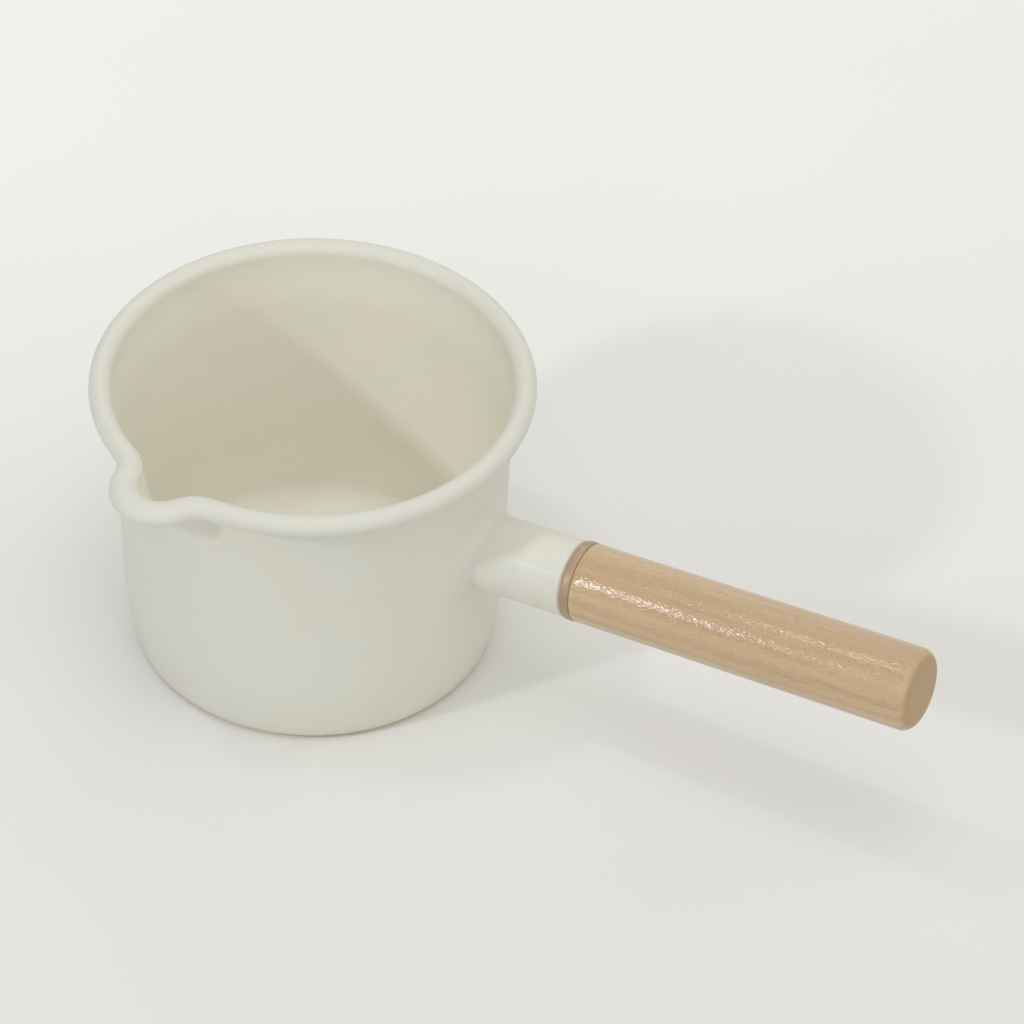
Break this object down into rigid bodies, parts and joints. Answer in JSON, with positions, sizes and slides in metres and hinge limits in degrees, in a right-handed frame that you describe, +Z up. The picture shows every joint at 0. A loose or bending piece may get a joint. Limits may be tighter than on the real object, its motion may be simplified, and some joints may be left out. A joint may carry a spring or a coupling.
{
  "type": "candle melting pot",
  "caption": "Small enamelled steel melting pan with rolled rim, pouring lip and turned wooden side handle on a metal ferrule.",
  "frame": {"origin": "centre of the flat base, on the surface that the pan stands on", "axes": "+Z up out of the mouth, +X along the handle in plan, the pouring lip lies towards -Y"},
  "size_m": [0.2819, 0.1501, 0.102],
  "materials": {
    "enamel": "cream vitreous enamel, glossy with a faint orange peel",
    "bare_steel": "plain turned and stamped steel",
    "gasket": "greyish brown heat resisting sheet gasket",
    "ferrule": "browned bronze, polished",
    "insert_brass": "plain machined brass",
    "beech": "light beech, clear lacquer"
  },
  "bodies": {
    "root": {"pot_shell": "enamel", "handle_socket": "enamel", "anchor_nut": "bare_steel", "handle_stud": "bare_steel", "spring_washer": "bare_steel", "heat_gasket": "gasket", "ferrule_ring": "ferrule", "threaded_insert": "insert_brass", "handle_grip": "beech"}
  },
  "joints": []
}
